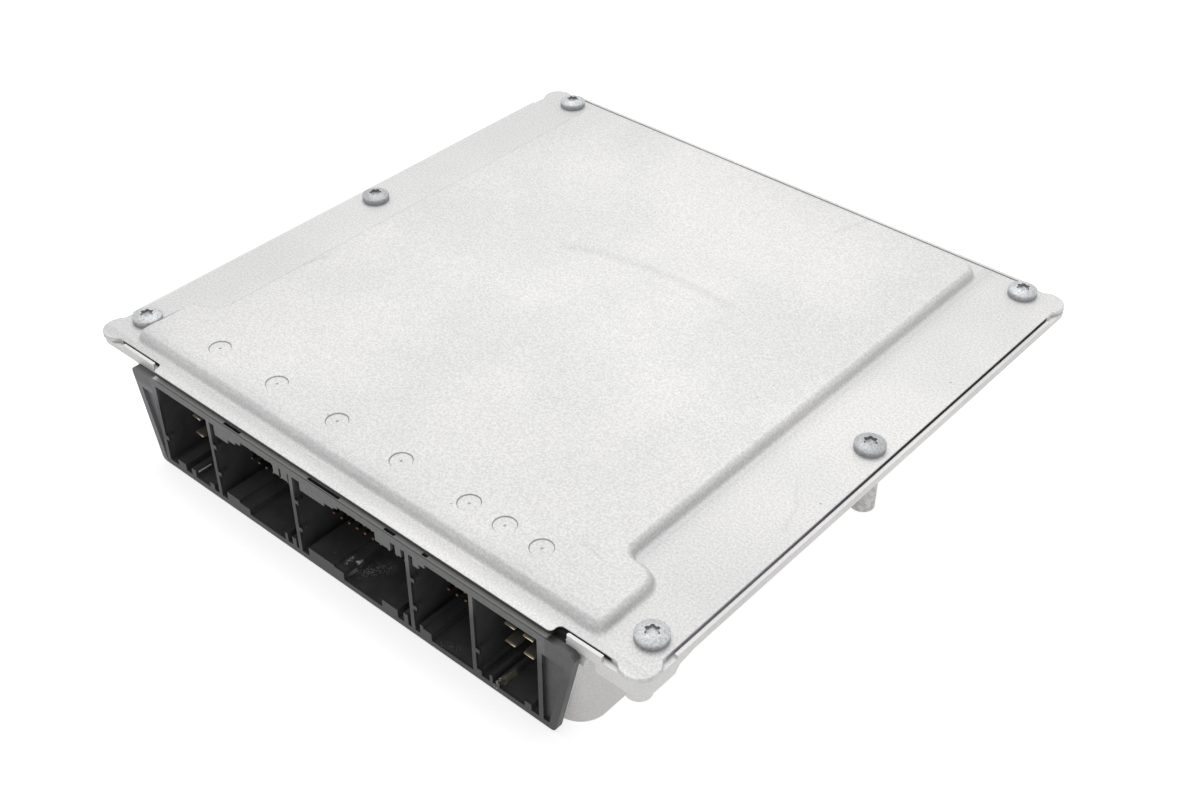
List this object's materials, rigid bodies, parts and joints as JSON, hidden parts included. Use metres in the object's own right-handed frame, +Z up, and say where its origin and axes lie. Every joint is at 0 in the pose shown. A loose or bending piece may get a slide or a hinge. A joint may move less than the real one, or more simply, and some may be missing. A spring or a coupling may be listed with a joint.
{
  "type": "engine control unit",
  "caption": "Engine control unit: shallow cast tray, pressed lid with a raised centre held by screws, and a row of open connector bays along the front.",
  "frame": {"origin": "bottom centre of the unit, on the plane it rests on", "axes": "+Z up through the lid, -Y out of the connector bays, +X to the right seen from the bays"},
  "size_m": [0.1674, 0.1624, 0.0304],
  "materials": {
    "lid": "fine blasted, matte",
    "tray": "as cast, matte",
    "housing": "glass-filled moulding, matte",
    "carrier": "matte",
    "contact": "plated, satin",
    "screw": "zinc plated, satin",
    "seal": "cured silicone bead",
    "board": "solder mask, satin",
    "package": "moulded, matte",
    "can": "sleeved can, satin",
    "crystal": "drawn can, satin",
    "ferrite": "sintered, matte",
    "chip_ceramic": "fired, satin",
    "pad": "soft gap filler, matte"
  },
  "bodies": {
    "root": {"board_screws": "screw", "bulk_capacitors": "can", "circuit_board": "board", "connector_housing": "housing", "connector_seal": "seal", "crystal": "crystal", "driver_chips": "package", "lid": "lid", "lid_screws": "screw", "lid_seal": "seal", "memory_chips": "package", "power_blades_left": "contact", "power_blades_right": "contact", "power_carrier_left": "carrier", "power_carrier_right": "carrier", "power_choke": "ferrite", "power_transistors": "package", "processor": "package", "shunt_resistors": "package", "signal_carrier_left": "carrier", "signal_carrier_middle": "carrier", "signal_carrier_right": "carrier", "signal_pins_left": "contact", "signal_pins_middle": "contact", "signal_pins_right": "contact", "small_capacitors": "chip_ceramic", "suppressor_diodes": "package", "thermal_pads": "pad", "tray": "tray", "voltage_regulator": "package"}
  },
  "joints": []
}
